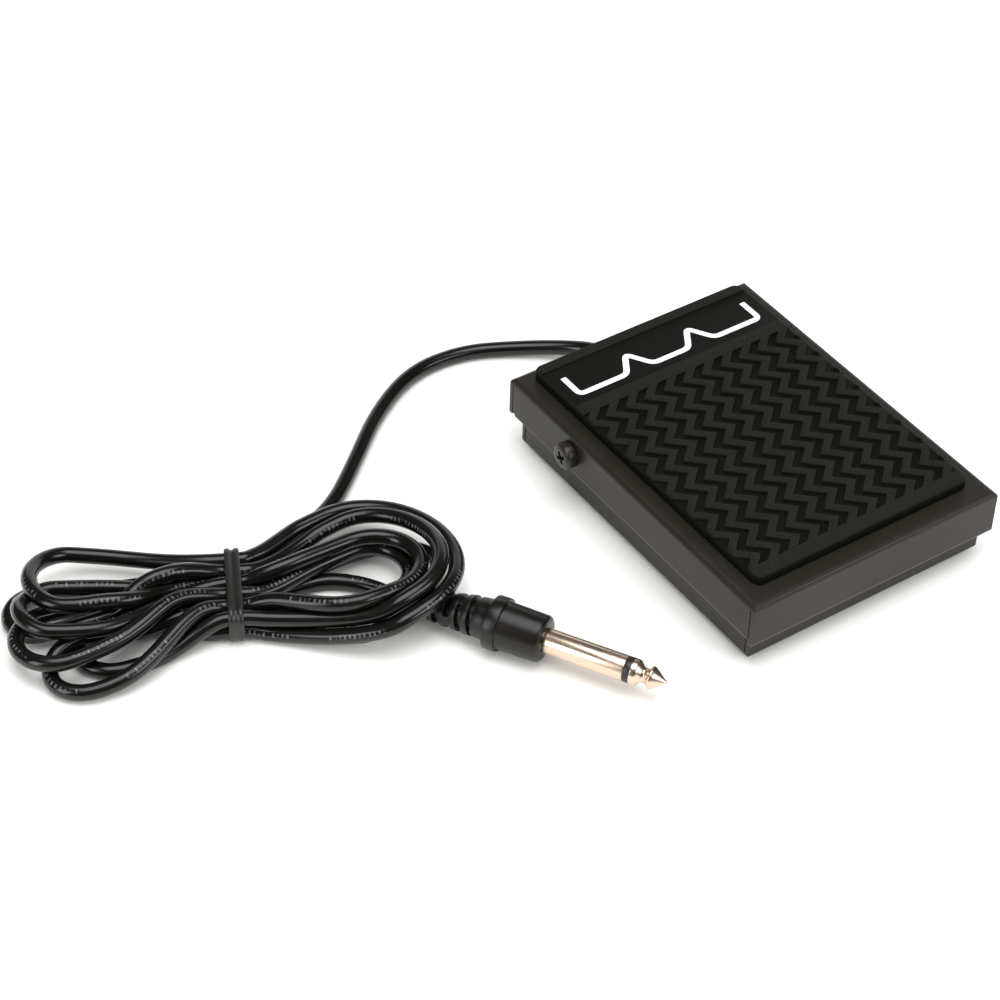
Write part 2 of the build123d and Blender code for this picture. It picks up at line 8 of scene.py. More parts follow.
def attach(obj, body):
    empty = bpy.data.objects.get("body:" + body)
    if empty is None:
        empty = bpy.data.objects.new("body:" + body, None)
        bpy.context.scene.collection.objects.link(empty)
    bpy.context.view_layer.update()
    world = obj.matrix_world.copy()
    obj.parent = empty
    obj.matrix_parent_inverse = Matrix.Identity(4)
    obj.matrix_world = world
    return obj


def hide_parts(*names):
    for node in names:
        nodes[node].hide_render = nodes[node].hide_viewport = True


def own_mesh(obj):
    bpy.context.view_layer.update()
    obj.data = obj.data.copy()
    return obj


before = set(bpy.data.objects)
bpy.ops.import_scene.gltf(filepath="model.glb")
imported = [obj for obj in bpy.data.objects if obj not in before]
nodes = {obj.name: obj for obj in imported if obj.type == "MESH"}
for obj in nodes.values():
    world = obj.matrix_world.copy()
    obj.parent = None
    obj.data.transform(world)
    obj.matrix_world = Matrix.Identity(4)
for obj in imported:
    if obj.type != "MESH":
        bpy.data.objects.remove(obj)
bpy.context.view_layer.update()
bpy.ops.object.select_all(action="DESELECT")


# Camera: a long lens held above the toe end, a little to the left, looking down
# over the pedal's front left corner.
camera_data = bpy.data.cameras.new("camera")
camera_data.lens = 101.06
camera_data.sensor_width = 36
camera_data.clip_end = 20
camera = bpy.data.objects.new("camera", camera_data)
camera_right = Vector((0.82628, -0.56281, 0.02250))
camera_up = Vector((0.36260, 0.56207, 0.74338))
camera_back = camera_right.cross(camera_up)
camera.matrix_world = Matrix.Translation((-0.3564, -0.3955, 0.47155)) @ Matrix(
    (camera_right, camera_up, camera_back)).transposed().to_4x4()
bpy.context.collection.objects.link(camera)
bpy.context.scene.camera = camera


# Floor and studio light: a white sweep under the pedal, one soft box overhead, a lit strip
# of backdrop and a weaker box low on the left and at the front. None of it is the pedal's.
bpy.ops.mesh.primitive_plane_add(size=8, location=(0, 0, 0))
floor = bpy.context.object
floor.name = "floor"
floor_paper = bpy.data.materials.new("white_paper")
floor_paper.use_nodes = True
paper_shader = floor_paper.node_tree.nodes["Principled BSDF"]
paper_shader.inputs["Base Color"].default_value = (0.93, 0.925, 0.905, 1)
paper_shader.inputs["Roughness"].default_value = 0.85
paper_shader.inputs["Specular IOR Level"].default_value = 0.2
floor.data.materials.append(floor_paper)

world = bpy.data.worlds.new("studio")
world.use_nodes = True
studio_tree = world.node_tree
room = studio_tree.nodes["Background"]
room.inputs["Color"].default_value = (1.0, 0.995, 0.98, 1)
# The room is pale where it lights the floor, and dark where glossy things mirror it.
ray_kind = studio_tree.nodes.new("ShaderNodeLightPath")
room_strength = studio_tree.nodes.new("ShaderNodeMapRange")
room_strength.inputs["To Min"].default_value = 0.65
room_strength.inputs["To Max"].default_value = 0.08
studio_tree.links.new(ray_kind.outputs["Is Glossy Ray"], room_strength.inputs["Value"])
studio_tree.links.new(room_strength.outputs["Result"], room.inputs["Strength"])
bpy.context.scene.world = world
bpy.context.scene.view_settings.view_transform = "Standard"


def soft_box(name, place, aim, width, height, power):
    """An area light turned towards a point."""
    data = bpy.data.lights.new(name, "AREA")
    data.shape = "RECTANGLE"
    data.size = width
    data.size_y = height
    data.energy = power
    light = bpy.data.objects.new(name, data)
    light.location = place
    light.rotation_euler = (Vector(aim) - Vector(place)).to_track_quat("-Z", "Y").to_euler()
    bpy.context.collection.objects.link(light)


soft_box(
    "top_box", place=(-0.1, -0.1, 1.3), aim=(-0.05, 0.0, 0.0), width=1.0, height=1.0, power=13)
soft_box(
    "backdrop", place=(1.1, 1.25, 0.5), aim=(-0.05, 0.0, 0.1), width=2.6, height=0.9, power=7.5)
soft_box(
    "left_box", place=(-1.1, -0.1, 0.45), aim=(-0.05, 0.0, 0.0), width=0.4, height=0.7, power=4)
soft_box(
    "front_box", place=(0.5, -1.1, 0.7), aim=(0.0, 0.0, 0.0), width=0.9, height=0.5, power=7)


# Cable: 4 mm round, black glossy PVC over two cores, one piece from the strain relief to
# the plug. It runs loose over the floor, is wound to and fro into a hank of eleven uneven
# loops, passes through the tie twelve times, and comes out under them to the plug.
CABLE_RADIUS = 0.002
TIE_CENTRE = Vector((-0.128, 0.034, 0))
TIE_TURN = math.radians(62.7)
TIE_ACROSS = Vector((math.cos(TIE_TURN), math.sin(TIE_TURN), 0))
TIE_ALONG = Vector((-TIE_ACROSS.y, TIE_ACROSS.x, 0))
LOW, HIGH = 0.0028, 0.0068  # the two layers in the tie
cable_lead = [
    (0.0, 0.054, 0.0058), (0.0, 0.0605, 0.0058), (-0.0045, 0.0687, 0.0036),
    (-0.0167, 0.0784, 0.00205),
    (-0.0295, 0.0845, 0.002), (-0.0453, 0.0846, 0.00205), (-0.062, 0.0751, 0.002),
    (-0.077, 0.0616, 0.00205), (-0.091, 0.0502, 0.002), (-0.104, 0.0466, 0.00205)]
cable_to_tie = [(-0.112, 0.0442, 0.002), (-0.1195, 0.0414, 0.0024)]
cable_tail = [
    (-0.1195, 0.032, 0.0024), (-0.112, 0.0306, 0.002), (-0.105, 0.029, 0.002),
    (-0.0985, 0.023, 0.002),
    (-0.0945, 0.0155, 0.0024), (-0.0923, 0.010, 0.0036), (-0.0904, 0.006, 0.0044),
    (-0.0875, 0.0008, 0.0052), (-0.0849, -0.0036, 0.0059)]
# Each loop: side of the tie (1 is away from the pedal), where across the tie and how high it
# goes in and comes out, its far end's middle, its half length and half width, the way it
# points in degrees, how far its arms stay straight, its height, and whether the arm further
# from the toe end comes first.
loops = [
    (1, (10, LOW), (6, HIGH), -168.3, 55.4, 7.8, 7.4, 148, 0.55, 3.0, True),
    (-1, (6, HIGH), (-10, HIGH), -95.8, 22.3, 15.0, 18.0, 0, 0.2, 7.0, True),
    (1, (-10, HIGH), (-10, LOW), -158.8, 36.5, 8.8, 7.9, 169, 0.3, 2.2, False),
    (-1, (-10, LOW), (10, HIGH), -96.5, 22.5, 19.4, 22.5, 3, 0.2, 3.0, False),
    (1, (10, HIGH), (6, LOW), -159.8, 56.6, 9.6, 11.0, 149, 0.35, 6.0, True),
    (-1, (6, LOW), (-2, LOW), -98.5, 19.0, 16.4, 14.6, 0, 0.3, 2.2, True),
    (1, (-2, LOW), (-2, HIGH), -170.0, 42.8, 10.2, 9.6, 175, 0.55, 4.0, True),
    (-1, (-2, HIGH), (-6, LOW), -96.8, 21.9, 9.1, 9.4, 0, 0.25, 6.5, True),
    (1, (-6, LOW), (-6, HIGH), -167.2, 32.8, 9.6, 7.6, 166, 0.35, 3.0, True),
    (-1, (-6, HIGH), (2, HIGH), -99.0, 19.5, 12.8, 11.4, 0, 0.45, 8.0, False),
    (1, (2, HIGH), (2, LOW), -167.5, 50.2, 8.0, 9.4, 149, 0.5, 5.0, False),
]


def loop_arm(side, slot, turn_end, turn_next, reach):
    """Points from the tie to the start of a loop's round end, in an easy S."""
    across, height = slot
    foot = TIE_CENTRE + TIE_ACROSS * across / 1000 + TIE_ALONG * side * 0.003
    foot += Vector((0, 0, height))
    span = (turn_end - foot).length
    leaving = foot + TIE_ALONG * side * span * reach * 0.8
    arriving = turn_end + (turn_end - turn_next).normalized() * span * reach
    points = []
    for step in range(6):
        t = step / 6
        points.append(foot * (1 - t) ** 3 + leaving * 3 * (1 - t) ** 2 * t
                      + arriving * 3 * (1 - t) * t ** 2 + turn_end * t ** 3)
    return points


def loop_points(side, enters, leaves, x, y, length, width, pointing, reach, height, far_first):
    """One loop: an arm out from the tie, seven points round its end, and an arm back."""
    far, near = (enters, leaves) if far_first else (leaves, enters)
    ahead = Vector((math.cos(math.radians(pointing)), math.sin(math.radians(pointing)), 0))
    beside = Vector((-ahead.y, ahead.x, 0)) * side * -1
    middle = Vector((x, y, height)) / 1000
    stride = 35
    fuller = 0.001 / math.cos(math.radians(stride / 2))
    turn = []
    for step in range(-3, 4):
        angle = math.radians(-stride * step)
        long_way = ahead * fuller * length * math.cos(angle)
        turn.append(middle + long_way + beside * fuller * width * math.sin(angle))
    arm_out = loop_arm(side, far, turn[0], turn[1], reach)
    arm_back = loop_arm(side, near, turn[-1], turn[-2], reach)
    points = arm_out + turn + arm_back[::-1]
    return points if far_first else points[::-1]


route = [Vector(point) for point in cable_lead + cable_to_tie]
for loop in loops:
    route += loop_points(*loop)
route += [Vector(point) for point in cable_tail]


def settle(points, first, last):
    """Lays the loops down: strands that meet are pushed apart, those that cross the plug's
    sleeve are lifted over it, and the rest sink to the floor."""
    spacing, cell, steps = 0.0043, 0.005, 200
    own_marks = 9  # marks this near along one strand never push each other
    level, over_level = 0.3, 0.2  # shares of a push that go sideways
    push, pull_home, stiffness, sink = 1.2, 0.08, 0.1, 0.00002
    sleeve_neck = Vector((-0.0835, -0.0062, 0.0062))
    sleeve_run = Vector((-0.0066, 0.0114, -0.0016))
    sleeve_clearance, tie_half = 0.0071, 0.0031
    homes = [point.copy() for point in points]
    held = [abs((point - TIE_CENTRE).dot(TIE_ALONG)) < tie_half for point in points]
    marks = []
    for i in range(1, len(points)):
        marks.append(((i - 1, 0.5), (i, 0.5)))
        if i < len(points) - 1:
            marks.append(((i - 1, 0.125), (i, 0.75), (i + 1, 0.125)))
    for _ in range(steps):
        places = [sum((points[i] * share for i, share in mark), Vector()) for mark in marks]
        cells = {}
        for j, place in enumerate(places):
            cells.setdefault((place.x // cell, place.y // cell), []).append(j)
        pushes = [[Vector(), 0.0] for _ in points]
        for (column, row), here in cells.items():
            for right, up in ((0, 0), (1, 0), (0, 1), (1, 1), (1, -1)):
                for a in here:
                    for b in cells.get((column + right, row + up), ()):
                        if abs(a - b) < own_marks or (right == up == 0 and b < a):
                            continue
                        gap = places[b] - places[a]
                        short = spacing - gap.length
                        if short <= 0:
                            continue
                        lift = math.copysign(max(abs(gap.z), 0.0004), gap.z or 1)
                        way = Vector((gap.x * level, gap.y * level, lift))
                        way = way.normalized() * short / 2
                        for j, sign in ((a, -1), (b, 1)):
                            for i, share in marks[j]:
                                pushes[i][0] += way * sign * share
                                pushes[i][1] += share
        for j, place in enumerate(places):
            if marks[j][-1][0] >= last:
                continue
            along = (place - sleeve_neck).dot(sleeve_run) / sleeve_run.length_squared
            gap = place - sleeve_neck - sleeve_run * min(max(along, 0), 1)
            short = sleeve_clearance - gap.length
            if short > 0:
                way = Vector((gap.x * over_level, gap.y * over_level, max(abs(gap.z), 0.0006)))
                for i, share in marks[j]:
                    pushes[i][0] += way.normalized() * short * share
                    pushes[i][1] += share
        heights = [point.z for point in points]
        for i in range(first, last):
            if held[i]:
                continue
            points[i] += pushes[i][0] * push / max(pushes[i][1], 1)
            points[i].x += pull_home * (homes[i].x - points[i].x)
            points[i].y += pull_home * (homes[i].y - points[i].y)
            straight = (heights[i - 1] + heights[i + 1]) / 2 - heights[i]
            points[i].z = max(CABLE_RADIUS, points[i].z + stiffness * straight - sink)


settle(route, len(cable_lead), len(route) - 3)

cable_curve = bpy.data.curves.new("cable", "CURVE")
cable_curve.dimensions = "3D"
cable_curve.resolution_u = 6
cable_spline = cable_curve.splines.new("NURBS")
cable_spline.points.add(len(route) - 1)
for point, place in zip(cable_spline.points, route):
    point.co = (*place, 1)
cable_spline.order_u = 3
cable_spline.use_endpoint_u = True
cable_line = bpy.data.objects.new("cable_line", cable_curve)
bpy.context.collection.objects.link(cable_line)
bpy.context.view_layer.update()
line_mesh = bpy.data.meshes.new_from_object(cable_line)
cable_path = [tuple(vertex.co) for vertex in line_mesh.vertices]
cable_curve.bevel_depth = CABLE_RADIUS
cable_curve.bevel_resolution = 5
cable_curve.use_fill_caps = True
bpy.context.view_layer.update()
cable_mesh = bpy.data.meshes.new_from_object(cable_line)
cable_mesh.name = "cable"
cable = bpy.data.objects.new("cable", cable_mesh)
bpy.context.collection.objects.link(cable)
bpy.data.objects.remove(cable_line)
reached = [0.0]
for a, b in zip(cable_path, cable_path[1:]):
    reached.append(reached[-1] + math.dist(a, b))
for corner in cable_mesh.uv_layers[0].data:
    corner.uv.x = reached[round(corner.uv.x * (len(cable_path) - 1))]


def tidy_shell(piece, angle=35):
    """Welds a new piece's seams, turns its faces outwards and shades its soft edges."""
    bpy.ops.object.select_all(action="DESELECT")
    piece.select_set(True)
    bpy.context.view_layer.objects.active = piece
    bpy.ops.object.mode_set(mode="EDIT")
    bpy.ops.mesh.select_all(action="SELECT")
    bpy.ops.mesh.remove_doubles(threshold=0.000005)
    bpy.ops.mesh.normals_make_consistent(inside=False)
    bpy.ops.object.mode_set(mode="OBJECT")
    bpy.ops.object.shade_smooth_by_angle(angle=math.radians(angle))
    piece.select_set(False)


tidy_shell(cable, 60)


def make_group(name, inputs, outputs):
    """An empty shader node group with named sockets; returns it with its two ends."""
    group = bpy.data.node_groups.new(name, "ShaderNodeTree")
    for title, kind, value in inputs:
        socket = group.interface.new_socket(title, in_out="INPUT", socket_type=kind)
        socket.default_value = value
    for title, kind in outputs:
        group.interface.new_socket(title, in_out="OUTPUT", socket_type=kind)
    return group, group.nodes.new("NodeGroupInput"), group.nodes.new("NodeGroupOutput")


def add_node(tree, kind, **settings):
    """A node with its settings and its unlinked inputs; a key with _ stands for a space."""
    node = tree.nodes.new(kind)
    for key, value in settings.items():
        if hasattr(node, key):
            setattr(node, key, value)
        else:
            node.inputs[key.replace("_", " ")].default_value = value
    return node


# A Mix node's colour sockets share their names with its other kinds, so they go by number.
MIX_A, MIX_B, MIX_RESULT = 6, 7, 2


def grain_group():
    """Fine surface grain, as a normal for the shader."""
    group, start, end = make_group(
        "surface_grain",
        [("Scale", "NodeSocketFloat", 1000.0), ("Depth", "NodeSocketFloat", 0.00002)],
        [("Normal", "NodeSocketVector")])
    place = add_node(group, "ShaderNodeTexCoord")
    noise = add_node(group, "ShaderNodeTexNoise", Detail=4.0, Roughness=0.6)
    bump = add_node(group, "ShaderNodeBump", Strength=1.0)
    group.links.new(place.outputs["Object"], noise.inputs["Vector"])
    group.links.new(start.outputs["Scale"], noise.inputs["Scale"])
    group.links.new(noise.outputs["Fac"], bump.inputs["Height"])
    group.links.new(start.outputs["Depth"], bump.inputs["Distance"])
    group.links.new(bump.outputs["Normal"], end.inputs["Normal"])
    return group


def handling_group():
    """Uneven polish and dust from handling: a colour and a roughness that drift in patches."""
    group, start, end = make_group(
        "handling",
        [("Clean", "NodeSocketColor", (0.02, 0.02, 0.02, 1)),
         ("Dusty", "NodeSocketColor", (0.1, 0.1, 0.1, 1)),
         ("Patch Scale", "NodeSocketFloat", 60.0), ("Dust", "NodeSocketFloat", 0.3),
         ("Smooth", "NodeSocketFloat", 0.3), ("Rough", "NodeSocketFloat", 0.5)],
        [("Color", "NodeSocketColor"), ("Roughness", "NodeSocketFloat")])
    place = add_node(group, "ShaderNodeTexCoord")
    patches = add_node(group, "ShaderNodeTexNoise", Detail=3.0, Roughness=0.55)
    specks = add_node(group, "ShaderNodeTexNoise", Scale=1400.0, Detail=2.0)
    thin = add_node(group, "ShaderNodeMapRange", From_Min=0.42, From_Max=0.72)
    speck_cut = add_node(group, "ShaderNodeMapRange", From_Min=0.48, From_Max=0.8)
    both = add_node(group, "ShaderNodeMath", operation="MULTIPLY")
    amount = add_node(group, "ShaderNodeMath", operation="MULTIPLY")
    mix = add_node(group, "ShaderNodeMix", data_type="RGBA")
    rough = add_node(group, "ShaderNodeMapRange", From_Min=0.3, From_Max=0.7)
    link = group.links.new
    link(place.outputs["Object"], patches.inputs["Vector"])
    link(place.outputs["Object"], specks.inputs["Vector"])
    link(start.outputs["Patch Scale"], patches.inputs["Scale"])
    link(patches.outputs["Fac"], thin.inputs["Value"])
    link(specks.outputs["Fac"], speck_cut.inputs["Value"])
    link(thin.outputs["Result"], both.inputs[0])
    link(speck_cut.outputs["Result"], both.inputs[1])
    link(both.outputs["Value"], amount.inputs[0])
    link(start.outputs["Dust"], amount.inputs[1])
    link(amount.outputs["Value"], mix.inputs["Factor"])
    link(start.outputs["Clean"], mix.inputs[MIX_A])
    link(start.outputs["Dusty"], mix.inputs[MIX_B])
    link(mix.outputs[MIX_RESULT], end.inputs["Color"])
    link(patches.outputs["Fac"], rough.inputs["Value"])
    link(start.outputs["Smooth"], rough.inputs["To Min"])
    link(start.outputs["Rough"], rough.inputs["To Max"])
    link(rough.outputs["Result"], end.inputs["Roughness"])
    return group


surface_grain = grain_group()
handling = handling_group()


def finish(name, clean, dusty, dust, smooth, rough, grain_scale, grain_depth, patch_scale,
           **sockets):
    """A material with grain and handling marks; the shader's own sockets take the rest."""
    material = bpy.data.materials.new(name)
    material.use_nodes = True
    tree = material.node_tree
    shader = tree.nodes["Principled BSDF"]
    grain = add_node(
        tree, "ShaderNodeGroup", node_tree=surface_grain, Scale=grain_scale, Depth=grain_depth)
    marks = add_node(
        tree, "ShaderNodeGroup", node_tree=handling, Clean=(*clean, 1), Dusty=(*dusty, 1),
        Dust=dust, Patch_Scale=patch_scale, Smooth=smooth, Rough=rough)
    tree.links.new(marks.outputs["Color"], shader.inputs["Base Color"])
    tree.links.new(marks.outputs["Roughness"], shader.inputs["Roughness"])
    tree.links.new(grain.outputs["Normal"], shader.inputs["Normal"])
    for title, value in sockets.items():
        shader.inputs[title.replace("_", " ")].default_value = value
    return material


def wear(piece, material):
    """Gives a whole piece, new or from the CAD, one material."""
    mesh = piece.data
    if len(mesh.materials):
        for slot in piece.material_slots:
            slot.material = material
    else:
        mesh.materials.append(material)


cable_pvc = finish(
    "cable_pvc", clean=(0.0040, 0.0036, 0.0028), dusty=(0.03, 0.028, 0.026), dust=0.25,
    smooth=0.17, rough=0.25, grain_scale=700, grain_depth=0.00001, patch_scale=90,
    Specular_IOR_Level=0.45)
tree = cable_pvc.node_tree
around_along = add_node(tree, "ShaderNodeUVMap", uv_map="UVMap")
split = add_node(tree, "ShaderNodeSeparateXYZ")
tree.links.new(around_along.outputs["UV"], split.inputs["Vector"])
# The maker's ink print, kept as plain worn ticks: short strokes in groups along one side.
TICK_PITCH, GROUP_PITCH, PRINT_SIDE, PRINT_HALF = 0.0006, 0.012, 0.3, 0.04
stroke = add_node(tree, "ShaderNodeMath", operation="PINGPONG")
stroke.inputs[1].default_value = TICK_PITCH
group_wave = add_node(tree, "ShaderNodeMath", operation="PINGPONG")
group_wave.inputs[1].default_value = GROUP_PITCH
side = add_node(tree, "ShaderNodeMath", operation="COMPARE")
side.inputs[1].default_value = PRINT_SIDE
side.inputs[2].default_value = PRINT_HALF
tree.links.new(split.outputs["X"], stroke.inputs[0])
tree.links.new(split.outputs["X"], group_wave.inputs[0])
tree.links.new(split.outputs["Y"], side.inputs[0])
stroke_cut = add_node(tree, "ShaderNodeMapRange", From_Min=0.00030, From_Max=0.00036)
group_cut = add_node(tree, "ShaderNodeMapRange", From_Min=0.0045, From_Max=0.0047)
tree.links.new(stroke.outputs["Value"], stroke_cut.inputs["Value"])
tree.links.new(group_wave.outputs["Value"], group_cut.inputs["Value"])
worn = add_node(tree, "ShaderNodeTexNoise", Scale=900.0, Detail=3.0)
object_place = add_node(tree, "ShaderNodeTexCoord")
tree.links.new(object_place.outputs["Object"], worn.inputs["Vector"])
worn_cut = add_node(tree, "ShaderNodeMapRange", From_Min=0.40, From_Max=0.64, To_Max=0.36)
tree.links.new(worn.outputs["Fac"], worn_cut.inputs["Value"])
ink = side.outputs["Value"]
for part in (stroke_cut, group_cut, worn_cut):
    times = add_node(tree, "ShaderNodeMath", operation="MULTIPLY")
    tree.links.new(ink, times.inputs[0])
    tree.links.new(part.outputs["Result"], times.inputs[1])
    ink = times.outputs["Value"]
ink_mix = add_node(tree, "ShaderNodeMix", data_type="RGBA")
shader = tree.nodes["Principled BSDF"]
pvc_colour = shader.inputs["Base Color"].links[0].from_socket
tree.links.new(ink, ink_mix.inputs["Factor"])
tree.links.new(pvc_colour, ink_mix.inputs[MIX_A])
ink_mix.inputs[MIX_B].default_value = (0.30, 0.34, 0.35, 1)
tree.links.new(ink_mix.outputs[MIX_RESULT], shader.inputs["Base Color"])
wear(cable, cable_pvc)
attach(cable, "base")
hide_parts("cord_lead", "cord_hank", "cord_tail")
wear(nodes["cord_inner"], cable_pvc)


# Hank tie: a flat ribbon of soft black plastic with two ridges along it, wrapped once
# round the middle of the hank and fused to itself underneath.
TIE_WIDTH, TIE_SPAN, TIE_LOW, TIE_HIGH = 0.0036, 0.0262, 0.0, 0.0101
bpy.ops.mesh.primitive_cube_add(size=1)
tie = bpy.context.object
tie.name = "tie_ribbon"
bpy.ops.object.mode_set(mode="EDIT")
bpy.ops.transform.resize(value=(TIE_SPAN, TIE_WIDTH, TIE_HIGH - TIE_LOW))
bpy.ops.object.mode_set(mode="OBJECT")


def pick_edges(piece, wanted):
    """Selects in edit mode the edges whose two ends pass the test."""
    bpy.ops.object.mode_set(mode="EDIT")
    bpy.ops.mesh.select_mode(type="EDGE")
    bpy.ops.mesh.select_all(action="DESELECT")
    for edge in bmesh.from_edit_mesh(piece.data).edges:
        if wanted(edge.verts[0].co, edge.verts[1].co):
            edge.select_set(True)
    bmesh.update_edit_mesh(piece.data)


pick_edges(tie, lambda a, b: abs(a.y - b.y) > 0.001)
bpy.ops.mesh.bevel(offset=0.0036, segments=7)
bpy.ops.mesh.select_mode(type="FACE")
bpy.ops.mesh.select_all(action="DESELECT")
for face in bmesh.from_edit_mesh(tie.data).faces:
    face.select_set(abs(face.normal.y) > 0.9)
bmesh.update_edit_mesh(tie.data)
bpy.ops.mesh.delete(type="FACE")
for cut in (-0.00145, -0.0007, -0.00025, 0.00025, 0.0007, 0.00145):
    bpy.ops.mesh.select_all(action="SELECT")
    bpy.ops.mesh.bisect(plane_co=(0, cut, 0), plane_no=(0, 1, 0))
for reach, sink in ((0.0003, 0.0004), (0.0019, 0.00025)):
    bpy.ops.mesh.select_mode(type="VERT")
    bpy.ops.mesh.select_all(action="DESELECT")
    for vertex in bmesh.from_edit_mesh(tie.data).verts:
        vertex.select_set(reach - 0.0003 < abs(vertex.co.y) < reach)
    bmesh.update_edit_mesh(tie.data)
    bpy.ops.transform.shrink_fatten(value=-sink)
bpy.ops.object.mode_set(mode="OBJECT")
thickness = tie.modifiers.new("thickness", "SOLIDIFY")
thickness.thickness = 0.0006
thickness.offset = -1
bpy.ops.object.modifier_apply(modifier="thickness")
tie_place = Matrix.Translation((TIE_CENTRE.x, TIE_CENTRE.y, (TIE_LOW + TIE_HIGH) / 2))
tie.data.transform(tie_place @ Matrix.Rotation(TIE_TURN, 4, "Z"))
tidy_shell(tie, 50)
tie_plastic = finish(
    "tie_plastic", clean=(0.011, 0.0105, 0.0095), dusty=(0.07, 0.07, 0.068), dust=0.35,
    smooth=0.3, rough=0.42, grain_scale=900, grain_depth=0.00003, patch_scale=200,
    Specular_IOR_Level=0.5)
wear(tie, tie_plastic)
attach(tie, "base")
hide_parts("hank_tie")


# Jack plug: a turned and plated 6.35 mm shank, an insulating ring and a turned tip on a
# rivet, with a black PVC handle moulded round their root. It points away under the hank.
PLUG_ROOT = Vector((-0.075, -0.021, 0.00665))
PLUG_FACING = math.radians(-60)
BOOT_DROOP = math.radians(8)
plug_place = Matrix.Translation(PLUG_ROOT) @ Matrix.Rotation(PLUG_FACING, 4, "Z")
boot_place = plug_place @ Matrix.Translation((-0.0175, 0, 0)) @ Matrix.Rotation(-BOOT_DROOP, 4, "Y")


def spun(name, outline, steps, place, soften=0.0, closed=False):
    """A turned piece: an outline of (along, radius) in mm, spun about X, then placed."""
    corners = [Vector((along / 1000, 0, radius / 1000)) for along, radius in outline]
    if closed:
        corners.append(corners[0])
    bpy.ops.mesh.primitive_plane_add(size=0.001)
    piece = bpy.context.object
    piece.name = name
    mesh = piece.data
    bpy.ops.object.mode_set(mode="EDIT")
    bpy.ops.mesh.select_mode(type="VERT")
    bpy.ops.mesh.merge(type="CENTER")
    bpy.ops.transform.translate(value=corners[0])
    for before, corner in zip(corners, corners[1:]):
        bpy.ops.mesh.extrude_vertices_move(TRANSFORM_OT_translate={"value": corner - before})
    bpy.ops.mesh.select_all(action="SELECT")
    bpy.ops.mesh.spin(steps=steps, angle=math.tau, center=(0, 0, 0), axis=(1, 0, 0))
    bpy.ops.mesh.select_all(action="SELECT")
    bpy.ops.mesh.remove_doubles(threshold=0.000002)
    bpy.ops.mesh.dissolve_degenerate(threshold=0.000001)
    bpy.ops.mesh.normals_make_consistent(inside=False)
    bpy.ops.object.mode_set(mode="OBJECT")
    if soften:
        bevel = piece.modifiers.new("soft_edges", "BEVEL")
        bevel.width = soften / 1000
        bevel.segments = 3
        bevel.limit_method = "ANGLE"
        bevel.angle_limit = math.radians(28)
        bpy.ops.object.modifier_apply(modifier="soft_edges")
    bpy.ops.object.shade_smooth_by_angle(angle=math.radians(40))
    mesh.transform(place)
    piece.select_set(False)
    return piece


shank = spun("plug_shank", [
    (-8, 0), (-8, 2.9), (0.1, 2.9), (0.1, 3.175), (20.0, 3.175), (20.1, 3.1), (20.1, 0)],
    64, plug_place, 0.05)
ring = spun("plug_ring", [
    (20.1, 0), (20.1, 3.17), (21.8, 3.17), (21.8, 0)], 64, plug_place, 0.05)
tip = spun("plug_point", [
    (21.8, 0), (21.8, 3.175), (22.9, 3.175), (23.3, 2.95), (23.8, 2.4), (24.3, 1.98),
    (24.8, 1.82), (25.2, 1.84), (25.6, 2.05), (26.0, 2.45), (26.3, 2.75), (26.55, 2.84),
    (26.85, 2.74), (27.4, 2.4), (28.4, 1.66),
    (29.4, 0.92), (30.1, 0.42), (30.4, 0.2), (30.5, 0)], 64, plug_place)
plug_metal = finish(
    "plug_metal", clean=(0.76, 0.605, 0.475), dusty=(0.55, 0.45, 0.36), dust=0.2, smooth=0.22,
    rough=0.31, grain_scale=2400, grain_depth=0.000002, patch_scale=140, Metallic=1.0)
ring_black = finish(
    "ring_black", clean=(0.016, 0.010, 0.008), dusty=(0.06, 0.05, 0.045), dust=0.2, smooth=0.3,
    rough=0.42, grain_scale=1500, grain_depth=0.00001, patch_scale=100)
wear(shank, plug_metal)
wear(tip, plug_metal)
wear(ring, ring_black)
for piece, node, slot in (
        (shank, "plug_sleeve", "plug_metal"), (tip, "plug_tip", "plug_metal"),
        (ring, "plug_insulator", "plug_pvc")):
    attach(piece, "base")
    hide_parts(node)

handle = spun("plug_handle", [
    (-0.5, 2.95), (-0.5, 4.7), (-0.9, 5.55), (-1.6, 5.82), (-11.4, 5.95), (-11.4, 6.65),
    (-14.6, 6.65), (-14.6, 5.25), (-16.6, 5.1), (-18.3, 4.9), (-18.3, 2.0), (-6, 2.0), (-6, 2.95)],
    64, plug_place, 0.22, closed=True)
boot_core = spun("boot_core", [
    (0.6, 2.0), (0.6, 3.75), (-12.6, 2.85), (-13.5, 2.6), (-13.5, 2.02)],
    40, boot_place, 0.1, closed=True)
boot_pieces = [boot_core]
RIB_PITCH, RIB_LENGTH = 3.25, 1.75
for index in range(4):
    rear = -13.2 + RIB_PITCH * index
    front = rear + RIB_LENGTH
    radius = 3.75 + 0.36 * index
    boot_pieces.append(spun("boot_rib", [
        (rear, 2.6), (rear, radius), (front, radius + 0.17), (front, 2.6)],
        40, boot_place, 0.16, closed=True))
for index in range(3):
    rear = -11.7 + RIB_PITCH * index
    for turn in (0, 180):
        bpy.ops.mesh.primitive_cube_add(size=1, location=((rear + 0.9) / 1000, 0, 0.0033))
        web = bpy.context.object
        web.name = "boot_web"
        bpy.ops.object.mode_set(mode="EDIT")
        bpy.ops.transform.resize(value=(0.0022, 0.0028, 0.0013 + 0.0003 * index))
        bpy.ops.mesh.bevel(offset=0.0002, segments=2)
        bpy.ops.object.mode_set(mode="OBJECT")
        web_turn = Matrix.Rotation(math.radians(turn + 90 * (index % 2)), 4, "X")
        web.data.transform(boot_place @ web_turn @ web.matrix_world)
        web.matrix_world = Matrix.Identity(4)
        boot_pieces.append(web)
bpy.ops.object.select_all(action="DESELECT")
